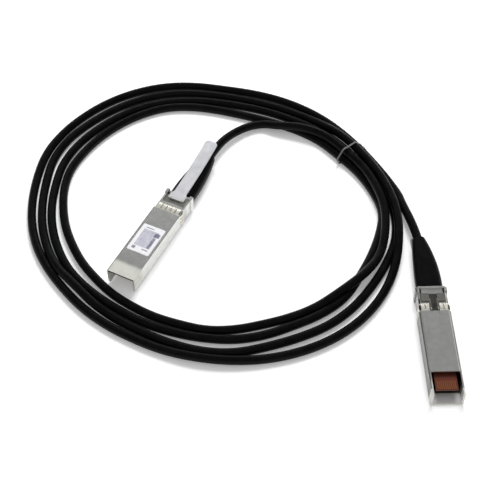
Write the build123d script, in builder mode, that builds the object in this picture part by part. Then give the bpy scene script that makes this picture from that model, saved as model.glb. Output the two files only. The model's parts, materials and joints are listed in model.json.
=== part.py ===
"""Direct attach copper cable: two small form factor plugs joined by a coiled twinaxial cable.

Millimetres, +Z up. The origin lies on the surface that the cable rests on, under the middle of
plug B's mating end, and plug B points along -Y. Each plug is drawn label side up in its own frame:
x across, y from the mating end towards the cable, z up from the underside. Plug A lies that way
inside the coil, and plug B lies outside it, turned over.
"""
import os
from math import asin, atan, cos, degrees, exp, pi, radians, sin, sqrt, tan

from build123d import *

os.makedirs("parts", exist_ok=True)

# Housing of a plug
plug_width = 13.5
plug_height = 8.5
plug_length = 54.0
underside_chamfer = 1.1
label_edge_radius = 0.35
floor_wall = 1.0
label_wall = 0.9
side_wall = 1.0
skirt_wall = 0.85
window_length = 10.6
bulkhead_setback = 10.4
lead_in_length = 10.4
lead_in_drop = 0.35

# Latch boss that catches in the cage. A setback is a distance back from the housing's cable end,
# and the mouth, screws and label keep their distance from the mating end
latch_setback = 9.0
boss_width = 2.2
boss_length = 2.6
boss_height = 0.45

# Release slider, bent from one strip of steel
slider_sheet = 0.45
slider_travel = 2.5
slider_gap = 0.12
arm_setback = 5.8
arm_length = 2.2
arm_inset = 1.55
bridge_setback = 7.2
bridge_length = 4.5
bridge_depth = 1.08
bridge_window = (5.0, 0.9)
bridge_window_inset = 1.7
foot_setback = 7.8
foot_inner = 1.7
tine_width = 0.6
tine_gap = 0.15
tine_setback = 13.0
ramp_height = 0.32
ramp_run = 1.7
ramp_crest = (0.35, 0.75)
foot_leg = 1.4

# Shield collar, a band of bowed spring fingers
collar_setback = 12.8
collar_length = 4.0
collar_sheet = 0.15
collar_depth = 0.45
collar_frame = 0.55
collar_mouth = 4.1
finger_gap = 0.35
top_finger_count = 5
side_finger_count = 3
under_finger_count = 2

# Paddle card and what it carries
card_y = 3.2
card_thickness = 1.0
card_height = 2.25
tongue_width = 9.2
tongue_length = 10.3
card_side_gap = 0.15
pad_count = 10
pad_pitch = 0.8
pad_width = 0.5
pad_length = 4.0
pad_thickness = 0.06
pad_setback = 0.3
ledge_width = 0.85
lip_width = 0.7
lip_gap = 0.03
chip_size = (4.4, 3.0, 1.0)
chip_standoff = 0.1
chip_leg = (0.9, 0.35, 0.18)
chip_leg_pitch = 1.0

# Screws that hold the two shells together
screw_y = 22.0
screw_spacing = 8.8
screw_radius = 0.7
screw_head_radius = 1.1
screw_head_depth = 0.6
screw_clearance = 0.02
screw_boss_radius = 1.25
screw_web = 1.6
screw_engagement = 0.4
screw_slot = (0.3, 0.3)

# Label on the top of a plug
label_y = 14.3
label_length = 16.4
label_width = 11.2
label_thickness = 0.1
label_gap = 0.1
label_recess = 0.12
label_corner = 0.5

# Cable, crimp ferrule and the conductors inside
cable_diameter = 4.0
ferrule_radius = 2.4
ferrule_bore = 1.55
ferrule_flange_radius = 2.8
ferrule_flange_setback = 5.4
ferrule_flange_length = 1.4
ferrule_gap = 0.05
core_diameter = 0.9
core_spread = 0.52
core_card_x = 1.7
core_bend = 4.0
core_lap = 2.2
core_span = 13.6
core_straight = 2.5

# Return springs
spring_radius = 0.65
spring_length = 3.8
spring_rings = 9
spring_gap = 0.1

# Strain relief boot: distance behind the housing, width, loss of height, sideways bend
boot_stations = (
    (0.0, 11.4, 0.0, 0.0),
    (5.0, 11.5, 0.0, 0.0),
    (10.0, 11.2, 0.0, 0.05),
    (15.0, 10.4, 0.1, 0.2),
    (20.0, 9.2, 0.3, 0.5),
    (25.0, 7.6, 0.5, 0.9),
    (29.2, 5.8, 0.8, 1.35),
)
boot_tab_gap = 0.42
boot_corner_ratio = 0.44
boot_tip_turn = 7.0
boot_a_lean = -0.25
boot_b_lean = 1.0

# Pull tab
tab_thickness = 0.45
tab_foot_width = 8.0
tab_foot_setback = 4.6
tab_strip_width = 6.2
tab_strip_setback = 0.6
tab_reach = 33.5
tab_end_radius = 1.6
tab_taper = 2.4
tab_a_skew = -0.7
tab_a_rise = 3.0
tab_b_skew = 1.2
tab_b_rise = 0.0
rivet_spacing = 5.2
rivet_setback = 3.8
rivet_radius = 0.5
rivet_head_radius = 0.85
rivet_head_height = 0.11

# Where the plugs lie
plug_a_place = (-133.4, 63.2)
plug_a_heading = 62.1

# Coil: an oval band of turns. Each edge is an oval of two half axes that is drawn in or let out
# round one angle: where, how far, and how wide a stretch
coil_centre = (-94.3, 106.3)
coil_tilt = 131.5
coil_outer = (92.6, 81.5)
coil_outer_swell = (28.0, -0.8, 22.0)
coil_inner = (72.3, 64.0)
coil_inner_swell = (-1.5, 9.5, 32.0)
coil_height = 7.6
coil_round = 2.4
coil_points = 20
tie_angle = 28.0
tie_width = 1.4
tie_thickness = 0.7
tie_end_radius = 0.8
tie_end_length = 7.0

# Tails of the cable: a straight run out of each boot, then corners on the way to the coil
exit_run = 9.0
tail_a_route = (
    (-84.6, 153.0, 4.0),
    (-76.2, 159.2, 3.0),
    (-65.9, 161.6, 2.2),
    (-55.2, 159.4, 2.0),
    (-46.6, 153.8, 2.0),
)
tail_b_route = (
    (-5.9, 106.6, 3.2),
    (-9.9, 119.8, 2.3),
    (-15.3, 132.4, 2.0),
    (-20.8, 141.1, 2.0),
)

# Values that follow from the ones above
bulkhead_y = plug_length - bulkhead_setback
latch_y = plug_length - latch_setback
arm_y = plug_length - arm_setback
bridge_y = plug_length - bridge_setback
foot_y = plug_length - foot_setback
tine_y = plug_length - tine_setback
collar_y = plug_length - collar_setback
ferrule_flange_y = plug_length - ferrule_flange_setback
tab_foot_y = plug_length - tab_foot_setback
tab_strip_y = plug_length - tab_strip_setback
rivet_y = plug_length - rivet_setback
tab_end_y = plug_length + tab_reach
card_length = bulkhead_y - core_span - card_y
card_end = card_y + card_length
mid_height = plug_height / 2
half_width = plug_width / 2
cavity_half = half_width - side_wall
cavity_top = plug_height - label_wall
boot_length = boot_stations[-1][0]
boot_tip_shift = boot_stations[-1][3]
boot_tip = plug_length + boot_length
card_top = card_height + card_thickness
card_half = cavity_half - card_side_gap
shoulder_y = card_y + tongue_length
chip_y = (shoulder_y + card_end - core_lap) / 2
arm_outer = half_width - arm_inset
arm_inner = arm_outer - slider_sheet
bridge_z = plug_height - bridge_depth
foot_z = slider_gap / 2
foot_length = arm_y + arm_length - foot_y
tine_inner = boss_width / 2 + tine_gap
tine_outer = tine_inner + tine_width
slot_end = arm_y + arm_length + slider_travel + slider_gap
tab_z = bridge_z + slider_sheet
boot_height = 2 * (tab_z - boot_tab_gap - mid_height)
label_floor = plug_height - label_recess


def across(y):
    """Plane square to the plug's length, with z up in the sketch."""
    return Plane(origin=(0, y, 0), x_dir=(-1, 0, 0), z_dir=(0, 1, 0))


def housing_outline(inset=0.0):
    """Section of the plug, with its two long edges chamfered on the underside."""
    with BuildSketch() as outline:
        with Locations((0, mid_height)):
            Rectangle(plug_width, plug_height)
        chamfer(outline.vertices().group_by(Axis.Y)[0], length=underside_chamfer)
        fillet(outline.vertices().group_by(Axis.Y)[-1], radius=label_edge_radius)
        if inset:
            offset(amount=-inset, kind=Kind.INTERSECTION, mode=Mode.REPLACE)
    return outline.sketch


def block(x_from, x_to, y_from, y_to, z_from, z_to, mode):
    """A straight-sided pocket or land, given by its limits on both sides of the middle."""
    with BuildSketch(Plane.XY.offset(z_from)) as limits:
        for side in (-1, 1):
            with Locations((side * (x_from + x_to) / 2, (y_from + y_to) / 2)):
                Rectangle(x_to - x_from, y_to - y_from)
    extrude(limits.sketch, amount=z_to - z_from, mode=mode)


def housing():
    """Both shells as one casting, before they are parted."""
    with BuildPart() as body:
        with BuildSketch(across(0)):
            add(housing_outline())
        extrude(amount=plug_length)
        # The mouth is open underneath, so that the card can be reached by the host's connector
        block(0, half_width - skirt_wall, 0, window_length, 0, cavity_top, Mode.SUBTRACT)
        block(0, cavity_half, window_length, bulkhead_y, floor_wall, cavity_top, Mode.SUBTRACT)
        # Shallow lead-in on the label side
        with BuildSketch(Plane.YZ) as lead_in:
            with BuildLine():
                Polyline(
                    (0, plug_height - lead_in_drop),
                    (0.6 * lead_in_length, plug_height - 0.3 * lead_in_drop),
                    (lead_in_length, plug_height),
                    (0, plug_height),
                    close=True,
                )
            make_face()
        extrude(lead_in.sketch, amount=plug_width, both=True, mode=Mode.SUBTRACT)
        # Recess for the label
        with BuildSketch(Plane.XY.offset(label_floor)) as recess:
            with Locations((0, label_y + label_length / 2)):
                RectangleRounded(label_width, label_length, label_corner + label_gap)
        extrude(recess.sketch, amount=label_recess, mode=Mode.SUBTRACT)
        # Groove for the shield collar, broken on the underside for the latch boss
        with BuildSketch(across(collar_y)) as groove:
            add(housing_outline())
            add(housing_outline(collar_depth), mode=Mode.SUBTRACT)
            with Locations((0, collar_depth)):
                Rectangle(collar_mouth, 2 * collar_depth, mode=Mode.SUBTRACT)
        extrude(groove.sketch, amount=collar_length, mode=Mode.SUBTRACT)
        # Bore for the ferrule and its flange
        with BuildSketch(across(bulkhead_y)):
            with Locations((0, mid_height)):
                Circle(ferrule_radius + ferrule_gap)
        extrude(amount=plug_length - bulkhead_y, mode=Mode.SUBTRACT)
        with BuildSketch(across(ferrule_flange_y - ferrule_gap)):
            with Locations((0, mid_height)):
                Circle(ferrule_flange_radius + ferrule_gap)
        extrude(amount=ferrule_flange_length + 2 * ferrule_gap, mode=Mode.SUBTRACT)
        # Slots and recesses in which the release slider runs
        block(
            arm_inner - slider_gap, arm_outer + slider_gap, arm_y - slider_gap, slot_end,
            0, plug_height, Mode.SUBTRACT,
        )
        recess_half = arm_outer + slider_gap
        block(
            0, recess_half, bridge_y - slider_gap, plug_length,
            bridge_z - slider_gap, plug_height, Mode.SUBTRACT,
        )
        recess_depth = foot_z + slider_sheet + slider_gap
        block(0, recess_half, latch_y, slot_end, 0, recess_depth, Mode.SUBTRACT)
        block(
            tine_inner - slider_gap, tine_outer + slider_gap,
            tine_y - slider_gap, latch_y, 0, recess_depth, Mode.SUBTRACT,
        )
        # Latch boss, a wedge with its shoulder towards the cable
        with BuildSketch(Plane.YZ) as boss:
            with BuildLine():
                Polyline(
                    (latch_y - boss_length, 0), (latch_y, -boss_height), (latch_y, 0.5 * floor_wall),
                    (latch_y - boss_length, 0.5 * floor_wall), close=True,
                )
            make_face()
        extrude(boss.sketch, amount=boss_width / 2, both=True)
        # Pockets of the two return springs
        with BuildSketch(across(arm_y - spring_length - spring_gap)):
            with Locations(*((side * (arm_inner + arm_outer) / 2, mid_height) for side in (-1, 1))):
                Circle(spring_radius + spring_gap)
        extrude(amount=spring_length + 2 * spring_gap, mode=Mode.SUBTRACT)
        # Screw bosses, each webbed to its side wall
        with BuildSketch(Plane.XY.offset(floor_wall / 2)) as bosses:
            for side in (-1, 1):
                with Locations((side * screw_spacing / 2, screw_y)):
                    Circle(screw_boss_radius)
                with Locations((side * (screw_spacing / 2 + cavity_half) / 2, screw_y)):
                    Rectangle(cavity_half - screw_spacing / 2 + side_wall, screw_web)
        extrude(bosses.sketch, amount=cavity_top - floor_wall / 2)
    return body.part


def lower_shell(body):
    with BuildPart() as shell:
        add(body)
        split(bisect_by=Plane.XY.offset(mid_height), keep=Keep.BOTTOM)
        # Ledges that carry the card
        block(
            cavity_half - ledge_width, cavity_half + side_wall / 2,
            shoulder_y, card_end, floor_wall / 2, card_height, Mode.ADD,
        )
        # Pilot holes
        with BuildSketch(Plane.XY.offset(mid_height)):
            with GridLocations(screw_spacing, 1, 2, 1):
                with Locations((0, screw_y)):
                    Circle(screw_radius + screw_clearance)
        extrude(amount=-(mid_height - floor_wall), mode=Mode.SUBTRACT)
    return shell.part


def upper_shell(body):
    with BuildPart() as shell:
        add(body)
        split(bisect_by=Plane.XY.offset(mid_height), keep=Keep.TOP)
        # Lips that locate the shells and press on the card, clear of the screw bosses
        lip_length = (card_end - shoulder_y) / 4
        for y_from in (shoulder_y + 0.5, card_end - lip_length - 0.5):
            block(
                cavity_half - lip_gap - lip_width, cavity_half - lip_gap, y_from, y_from + lip_length,
                card_top + lip_gap, mid_height + 0.5, Mode.ADD,
            )
            block(
                cavity_half - lip_gap - lip_width, cavity_half + side_wall / 2,
                y_from, y_from + lip_length, mid_height, cavity_top, Mode.ADD,
            )
        # Countersunk clearance holes
        with Locations(Plane.XY.offset(label_floor)):
            with Locations(*((side * screw_spacing / 2, screw_y, 0) for side in (-1, 1))):
                CounterSinkHole(
                    radius=screw_radius + screw_clearance,
                    counter_sink_radius=screw_head_radius + screw_clearance,
                    depth=label_floor - mid_height,
                    counter_sink_angle=2 * degrees(
                        atan((screw_head_radius - screw_radius) / screw_head_depth)
                    ),
                )
    return shell.part


def shield_collar():
    """A band round the housing: two plain edges joined by bowed fingers."""
    ring_inset = collar_depth - collar_sheet
    mouth_edge = collar_mouth / 2
    with BuildPart() as collar:
        for y_from in (collar_y, collar_y + collar_length - collar_frame):
            with BuildSketch(across(y_from)):
                add(housing_outline(ring_inset))
                add(housing_outline(collar_depth), mode=Mode.SUBTRACT)
                with Locations((0, collar_depth)):
                    Rectangle(collar_mouth + 2 * tine_gap, 2 * collar_depth, mode=Mode.SUBTRACT)
            extrude(amount=collar_frame)
        flat_across = half_width - underside_chamfer
        flat_down = mid_height - underside_chamfer
        top = plug_height - collar_depth
        under_middle = (mouth_edge + tine_gap + flat_across) / 2
        under_length = flat_across - mouth_edge - tine_gap
        row_of_fingers((0, 0, top), (1, 0, 0), 2 * flat_across, top_finger_count)
        for side in (-1, 1):
            row_of_fingers(
                (side * under_middle, 0, collar_depth), (-1, 0, 0), under_length, under_finger_count
            )
            row_of_fingers(
                (side * (half_width - collar_depth), 0, mid_height), (0, 0, -side),
                2 * flat_down, side_finger_count,
            )
    return collar.part


def row_of_fingers(middle, along, row_length, count):
    """Bowed strips side by side, each reaching from one edge of the collar to the other."""
    pitch = (row_length + finger_gap) / count
    start = collar_y + 0.8 * collar_frame
    end = collar_y + collar_length - 0.8 * collar_frame
    centre = (start + end) / 2
    crown = collar_depth - 0.02
    for number in range(count):
        shift = (number - (count - 1) / 2) * pitch
        place = Vector(*middle) + Vector(*along) * shift
        with BuildSketch(Plane(origin=place, x_dir=(0, 1, 0), z_dir=along)) as strip:
            with BuildLine():
                ThreePointArc((start, 0), (centre, crown - collar_sheet), (end, 0))
                Line((end, 0), (end, collar_sheet))
                ThreePointArc((end, collar_sheet), (centre, crown), (start, collar_sheet))
                Line((start, collar_sheet), (start, 0))
            make_face()
        extrude(strip.sketch, amount=(pitch - finger_gap) / 2, both=True)


def release_slider():
    """One bent strip: a bridge on the label side, an arm down each side and a foot with its tine."""
    with BuildPart() as slider:
        with BuildSketch(Plane.XY.offset(bridge_z)) as bridge:
            with Locations((0, bridge_y + bridge_length / 2)):
                RectangleRounded(2 * arm_outer, bridge_length, 0.5)
            with Locations((0, bridge_y + bridge_window_inset)):
                SlotOverall(*bridge_window, mode=Mode.SUBTRACT)
            with Locations(*((side * rivet_spacing / 2, rivet_y) for side in (-1, 1))):
                Circle(rivet_radius, mode=Mode.SUBTRACT)
        extrude(bridge.sketch, amount=slider_sheet)
        block(
            arm_inner, arm_outer, arm_y, arm_y + arm_length,
            foot_z, bridge_z + slider_sheet / 2, Mode.ADD,
        )
        with BuildSketch(Plane.XY.offset(foot_z)) as foot:
            with BuildLine():
                Polyline(
                    (tine_inner, tine_y), (tine_outer, tine_y), (tine_outer, foot_y),
                    (arm_outer, foot_y), (arm_outer, foot_y + foot_length),
                    (foot_inner, foot_y + foot_length), (foot_inner, foot_y + foot_leg),
                    (tine_inner, foot_y + foot_leg), close=True,
                )
            make_face()
        extrude(foot.sketch, amount=slider_sheet)
        # Ramp that lifts the cage's catch off the boss
        with BuildSketch(Plane.YZ.offset(tine_inner)) as ramp:
            with BuildLine():
                crest_start, crest_end = ramp_crest
                Polyline(
                    (tine_y, foot_z), (tine_y + crest_start, foot_z - ramp_height),
                    (tine_y + crest_end, foot_z - ramp_height), (tine_y + ramp_run, foot_z),
                    close=True,
                )
            make_face()
        extrude(ramp.sketch, amount=tine_width)
        mirror(about=Plane.YZ)
    return slider.part


def paddle_card():
    tongue_half = tongue_width / 2
    with BuildPart() as card:
        with BuildSketch(Plane.XY.offset(card_height)) as outline:
            with BuildLine():
                Polyline(
                    (-tongue_half, card_y), (tongue_half, card_y), (tongue_half, shoulder_y),
                    (card_half, shoulder_y), (card_half, card_end),
                    (-card_half, card_end), (-card_half, shoulder_y),
                    (-tongue_half, shoulder_y), close=True,
                )
            make_face()
            # Notches round the screw bosses locate the card
            notch = screw_boss_radius + card_side_gap
            for side in (-1, 1):
                with Locations((side * screw_spacing / 2, screw_y)):
                    Circle(notch, mode=Mode.SUBTRACT)
                with Locations((side * (screw_spacing / 2 + card_half) / 2, screw_y)):
                    Rectangle(card_half, 2 * notch, mode=Mode.SUBTRACT)
        extrude(outline.sketch, amount=card_thickness)
        front = card.edges().filter_by(Axis.X).group_by(Axis.Y)[0]
        chamfer(front, length=0.25)
    return card.part


def contact_pads():
    pad_y = card_y + pad_setback + pad_length / 2
    with BuildPart() as pads:
        for height in (card_height - pad_thickness, card_top):
            with BuildSketch(Plane.XY.offset(height)):
                with Locations((0, pad_y)):
                    with GridLocations(pad_pitch, 1, pad_count, 1):
                        Rectangle(pad_width, pad_length)
            extrude(amount=pad_thickness)
    return pads.part


def memory_chip():
    length, width, height = chip_size
    with BuildPart() as chip:
        with BuildSketch(Plane.XY.offset(card_top + chip_standoff)):
            with Locations((0, chip_y)):
                Rectangle(width, length)
        extrude(amount=height - chip_standoff, taper=5)
        # Four legs on each side, simple feet that stand on the card
        leg_length, leg_width, leg_height = chip_leg
        with BuildSketch(Plane.XY.offset(card_top)):
            for side in (-1, 1):
                with Locations((side * (width + leg_length / 2) / 2, chip_y)):
                    with GridLocations(1, chip_leg_pitch, 1, 4):
                        Rectangle(leg_length, leg_width)
        extrude(amount=leg_height)
    return chip.part


def signal_wires():
    """Four cores: one pair soldered to each face of the card, all drawn into the ferrule."""
    with BuildPart() as wires:
        for level in (-1, 1):
            for side in (-1, 1):
                pad_z = card_height + card_thickness / 2 + level * (card_thickness + core_diameter) / 2
                core_x = side * core_spread
                core_z = mid_height + level * core_spread
                with BuildLine() as route:
                    FilletPolyline(
                        (side * core_card_x, card_end - core_lap, pad_z),
                        (side * core_card_x, card_end + core_straight, pad_z),
                        (core_x, bulkhead_y - core_straight, core_z),
                        (core_x, ferrule_flange_y, core_z),
                        radius=core_bend,
                    )
                with BuildSketch(Plane(origin=route.line @ 0, z_dir=route.line % 0)):
                    Circle(core_diameter / 2)
                sweep(path=route.line)
    return wires.part


def crimp_ferrule():
    with BuildPart() as ferrule:
        with BuildSketch(across(bulkhead_y + 1)):
            with Locations((0, mid_height)):
                Circle(ferrule_radius)
        extrude(amount=plug_length - bulkhead_y - 1)
        with BuildSketch(across(ferrule_flange_y)):
            with Locations((0, mid_height)):
                Circle(ferrule_flange_radius)
        extrude(amount=ferrule_flange_length)
        with BuildSketch(across(bulkhead_y + 1)):
            with Locations((0, mid_height)):
                Circle(ferrule_bore)
        extrude(amount=plug_length - bulkhead_y - 1, mode=Mode.SUBTRACT)
    return ferrule.part


def return_springs():
    """Two close-wound extension springs, drawn as the rings of their coils."""
    pitch = spring_length / spring_rings
    wire = pitch / 2
    with BuildPart() as springs:
        for side in (-1, 1):
            middle = Vector(side * (arm_inner + arm_outer) / 2, arm_y - spring_length, mid_height)
            profile_plane = Plane(origin=middle, x_dir=(0, 1, 0), z_dir=(-1, 0, 0))
            with BuildSketch(profile_plane) as profile:
                with BuildLine():
                    points = [(0, 0)]
                    for ring in range(spring_rings):
                        points.append((ring * pitch, -(spring_radius - wire)))
                        points.append(((ring + 0.5) * pitch, -spring_radius))
                    points.append((spring_length, -(spring_radius - wire)))
                    points.append((spring_length, 0))
                    Polyline(*points, close=True)
                make_face()
            revolve(axis=Axis(middle, (0, 1, 0)))
    return springs.part


def cover_screws():
    with BuildPart() as screws:
        with BuildSketch(Plane.XZ) as half_profile:
            with BuildLine():
                tip_z = floor_wall + screw_engagement
                Polyline(
                    (0, tip_z), (screw_radius, tip_z),
                    (screw_radius, label_floor - screw_head_depth),
                    (screw_head_radius, label_floor), (0, label_floor), close=True,
                )
            make_face()
        screw = revolve(half_profile.sketch, axis=Axis.Z, mode=Mode.PRIVATE)
        with Locations(*((side * screw_spacing / 2, screw_y, 0) for side in (-1, 1))):
            add(screw)
        # Slot across each head
        slot_width, slot_depth = screw_slot
        with BuildSketch(Plane.XY.offset(label_floor)):
            with Locations((0, screw_y)):
                with GridLocations(screw_spacing, 1, 2, 1):
                    Rectangle(slot_width, 3 * screw_head_radius)
        extrude(amount=-slot_depth, mode=Mode.SUBTRACT)
    return screws.part


def label():
    with BuildPart() as sticker:
        with BuildSketch(Plane.XY.offset(label_floor)):
            with Locations((0, label_y + label_length / 2)):
                RectangleRounded(
                    label_width - 2 * label_gap, label_length - 2 * label_gap, label_corner
                )
        extrude(amount=label_thickness)
    return sticker.part


def boot(lean):
    """Moulded strain relief, a loft through rounded sections that leans to one side at its tip."""
    with BuildPart() as sleeve:
        for along, width, height_loss, shift in boot_stations:
            height = boot_height - height_loss
            turn = radians(lean * boot_tip_turn) * (along / boot_length) ** 2
            plane = Plane(
                origin=(lean * shift, plug_length + along, mid_height),
                x_dir=(-cos(turn), sin(turn), 0), z_dir=(sin(turn), cos(turn), 0),
            )
            with BuildSketch(plane):
                RectangleRounded(width, height, boot_corner_ratio * min(width, height))
        loft()
    return sleeve.part


def pull_tab(skew, rise):
    """Flexible strip: a wide foot riveted to the slider, and a narrower tongue past the boot."""
    reach = tab_end_y - tab_strip_y
    top = tab_z + tab_thickness
    with BuildPart() as tab:
        with BuildSketch(Plane.YZ) as side_view:
            with BuildLine():
                if rise:
                    bend = reach ** 2 / (2 * rise)
                    turn = degrees(asin(reach / bend))
                    centre = (tab_strip_y, tab_z + bend)
                    under = CenterArc(centre, bend, -90, turn)
                    over = CenterArc(centre, bend - tab_thickness, -90, turn)
                    Line(under @ 1, over @ 1)
                    Polyline(over @ 0, (tab_foot_y, top), (tab_foot_y, tab_z), under @ 0)
                else:
                    Polyline(
                        (tab_foot_y, tab_z), (tab_end_y, tab_z), (tab_end_y, top), (tab_foot_y, top),
                        close=True,
                    )
            make_face()
        extrude(side_view.sketch, amount=tab_foot_width, both=True)
        with BuildSketch(Plane.XY.offset(tab_z - tab_thickness)) as plan:
            foot_half = tab_foot_width / 2
            strip_half = tab_strip_width / 2
            with BuildLine():
                Polyline(
                    (-foot_half, tab_foot_y), (foot_half, tab_foot_y),
                    (foot_half, tab_strip_y - tab_taper / 2),
                    (strip_half, tab_strip_y + tab_taper / 2),
                    (skew + strip_half, tab_end_y), (skew - strip_half, tab_end_y),
                    (-strip_half, tab_strip_y + tab_taper / 2),
                    (-foot_half, tab_strip_y - tab_taper / 2), close=True,
                )
            make_face()
            fillet(plan.vertices().group_by(Axis.Y)[-1], radius=tab_end_radius)
            fillet(plan.vertices().group_by(Axis.Y)[0], radius=tab_thickness)
            with Locations(*((side * rivet_spacing / 2, rivet_y) for side in (-1, 1))):
                Circle(rivet_radius, mode=Mode.SUBTRACT)
        extrude(plan.sketch, amount=rise + 3 * tab_thickness, mode=Mode.INTERSECT)
    return tab.part


def tab_rivets():
    with BuildPart() as rivets:
        with BuildSketch(Plane.XY.offset(bridge_z)) as shanks:
            with Locations(*((side * rivet_spacing / 2, rivet_y) for side in (-1, 1))):
                Circle(rivet_radius)
        extrude(shanks.sketch, amount=slider_sheet + tab_thickness)
        with BuildSketch(Plane.XY.offset(tab_z + tab_thickness)) as heads:
            with Locations(*((side * rivet_spacing / 2, rivet_y) for side in (-1, 1))):
                Circle(rivet_head_radius)
        extrude(heads.sketch, amount=rivet_head_height, taper=30)
    return rivets.part


def coil_radius(angle, half_axes, swell):
    """Distance of an edge of the band from its middle, at an angle in degrees from +X."""
    long_half, short_half = half_axes
    swell_angle, swell_amount, swell_spread = swell
    turn = radians(angle - coil_tilt)
    oval = long_half * short_half / sqrt((short_half * cos(turn)) ** 2 + (long_half * sin(turn)) ** 2)
    away = (angle - swell_angle + 180) % 360 - 180
    return oval + swell_amount * exp(-((away / swell_spread) ** 2))


def coil_edge(half_axes, swell):
    """Points of one edge of the band, evenly spaced round it."""
    for number in range(coil_points):
        angle = 360 * number / coil_points
        reach = coil_radius(angle, half_axes, swell)
        yield (
            coil_centre[0] + reach * cos(radians(angle)),
            coil_centre[1] + reach * sin(radians(angle)),
        )


def tie_reach():
    """Inner and outer edge of the bundle under the tie, as distances from the coil's middle."""
    inner = coil_radius(tie_angle, coil_inner, coil_inner_swell)
    outer = coil_radius(tie_angle, coil_outer, coil_outer_swell)
    return inner, outer


def tie_plane():
    """Plane across the bundle under the tie: x outwards from the middle of the coil, y up."""
    outwards = Vector(cos(radians(tie_angle)), sin(radians(tie_angle)), 0)
    middle = Vector(*coil_centre, 0) + outwards * (sum(tie_reach()) / 2)
    return Plane(origin=middle, x_dir=outwards, z_dir=outwards.cross(Vector(0, 0, 1)))


def tie_section(inset):
    """Section of the band round the bundle, sunk into the turns by half its thickness."""
    inner, outer = tie_reach()
    width = outer - inner + tie_thickness
    height = coil_height + tie_thickness / 2
    with BuildSketch() as section:
        with Locations((0, height / 2)):
            RectangleRounded(width - 2 * inset, height - 2 * inset, coil_round - inset)
    return section.sketch


def cable_coil():
    """Outer shape of all the turns together, grooved where the tie holds them."""
    with BuildPart() as coil:
        with BuildSketch():
            with BuildLine():
                Spline(*coil_edge(coil_outer, coil_outer_swell), periodic=True)
            make_face()
            with BuildLine():
                Spline(*coil_edge(coil_inner, coil_inner_swell), periodic=True)
            make_face(mode=Mode.SUBTRACT)
        extrude(amount=coil_height)
        fillet(coil.edges().group_by(Axis.Z)[-1], radius=coil_round)
        fillet(coil.edges().group_by(Axis.Z)[0], radius=coil_round / 2)
        with BuildSketch(tie_plane()):
            Rectangle(6 * coil_height, 6 * coil_height)
            add(tie_section(tie_thickness), mode=Mode.SUBTRACT)
        extrude(amount=tie_width / 2, both=True, mode=Mode.SUBTRACT)
    return coil.part


def coil_tie():
    """Narrow band round the bundle, with its twisted end standing out beyond the turns."""
    inner, outer = tie_reach()
    plane = tie_plane()
    root = plane.from_local_coords(Vector((outer - inner) / 2, 0.6 * coil_height, 0))
    with BuildPart() as tie:
        with BuildSketch(plane):
            add(tie_section(0))
            add(tie_section(tie_thickness), mode=Mode.SUBTRACT)
        extrude(amount=tie_width / 2, both=True)
        with BuildSketch(Plane(origin=root, z_dir=plane.x_dir)):
            Circle(tie_end_radius)
        extrude(amount=tie_end_length, taper=2)
    return tie.part


def tail(name, corners):
    """Tube along straight runs joined by arcs as large as the runs allow."""
    radii = []
    for before, here, after in zip(corners, corners[1:], corners[2:]):
        run_in = here - before
        run_out = after - here
        half_turn = radians(run_in.get_angle(run_out)) / 2
        radii.append(0.45 * min(run_in.length, run_out.length) / tan(half_turn))
    with BuildPart() as tube:
        with BuildLine() as path:
            FilletPolyline(*corners, radius=radii)
        with BuildSketch(Plane(origin=path.line @ 0, z_dir=path.line % 0)):
            Circle(cable_diameter / 2)
        sweep(path=path.line)
    expected = pi * (cable_diameter / 2) ** 2 * path.wire().length
    print(name, "radii", [round(radius, 1) for radius in radii])
    print(name, "length", round(path.wire().length, 1), "volume ratio", round(tube.part.volume / expected, 4))
    return tube.part


def place(name, solid, plane):
    """Put a piece of a plug where that plug lies, name it and write it."""
    placed = solid.moved(plane.location)
    placed.label = name
    export_step(placed, f"parts/{name}.step")
    return placed


def save(name, solid):
    solid.label = name
    export_step(solid, f"parts/{name}.step")


heading = radians(plug_a_heading)
plug_a = Plane(
    origin=(*plug_a_place, boss_height),
    x_dir=(sin(heading), -cos(heading), 0), z_dir=(0, 0, 1),
)
plug_b = Plane(origin=(0, 0, plug_height), x_dir=(-1, 0, 0), z_dir=(0, 0, -1))

body = housing()
pieces = {
    "lower_shell": lower_shell(body),
    "upper_shell": upper_shell(body),
    "shield_collar": shield_collar(),
    "release_slider": release_slider(),
    "paddle_card": paddle_card(),
    "contact_pads": contact_pads(),
    "memory_chip": memory_chip(),
    "signal_wires": signal_wires(),
    "crimp_ferrule": crimp_ferrule(),
    "return_springs": return_springs(),
    "cover_screws": cover_screws(),
    "tab_rivets": tab_rivets(),
}
for letter, plane, lean, skew, rise, route in (
    ("a", plug_a, boot_a_lean, tab_a_skew, tab_a_rise, tail_a_route),
    ("b", plug_b, boot_b_lean, tab_b_skew, tab_b_rise, tail_b_route),
):
    for name, solid in pieces.items():
        place(f"plug_{letter}_{name}", solid, plane)
    place(f"plug_{letter}_boot", boot(lean), plane)
    place(f"plug_{letter}_pull_tab", pull_tab(skew, rise), plane)
    exit_turn = radians(lean * boot_tip_turn)
    exit_point = Vector(lean * boot_tip_shift, boot_tip, mid_height)
    first_corner = exit_point + Vector(sin(exit_turn), cos(exit_turn), 0) * exit_run
    corners = [plane.from_local_coords(point) for point in (exit_point, first_corner)]
    corners += [Vector(*point) for point in route]
    save(f"cable_tail_{letter}", tail(f"cable_tail_{letter}", corners))
place("plug_a_label", label(), plug_a)
save("cable_coil", cable_coil())
save("coil_tie", coil_tie())
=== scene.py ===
"""Looks of the coiled direct attach copper cable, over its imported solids. Metres, +Z up."""

import json
import math

import bmesh
import bpy
from mathutils import Matrix, Vector


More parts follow.
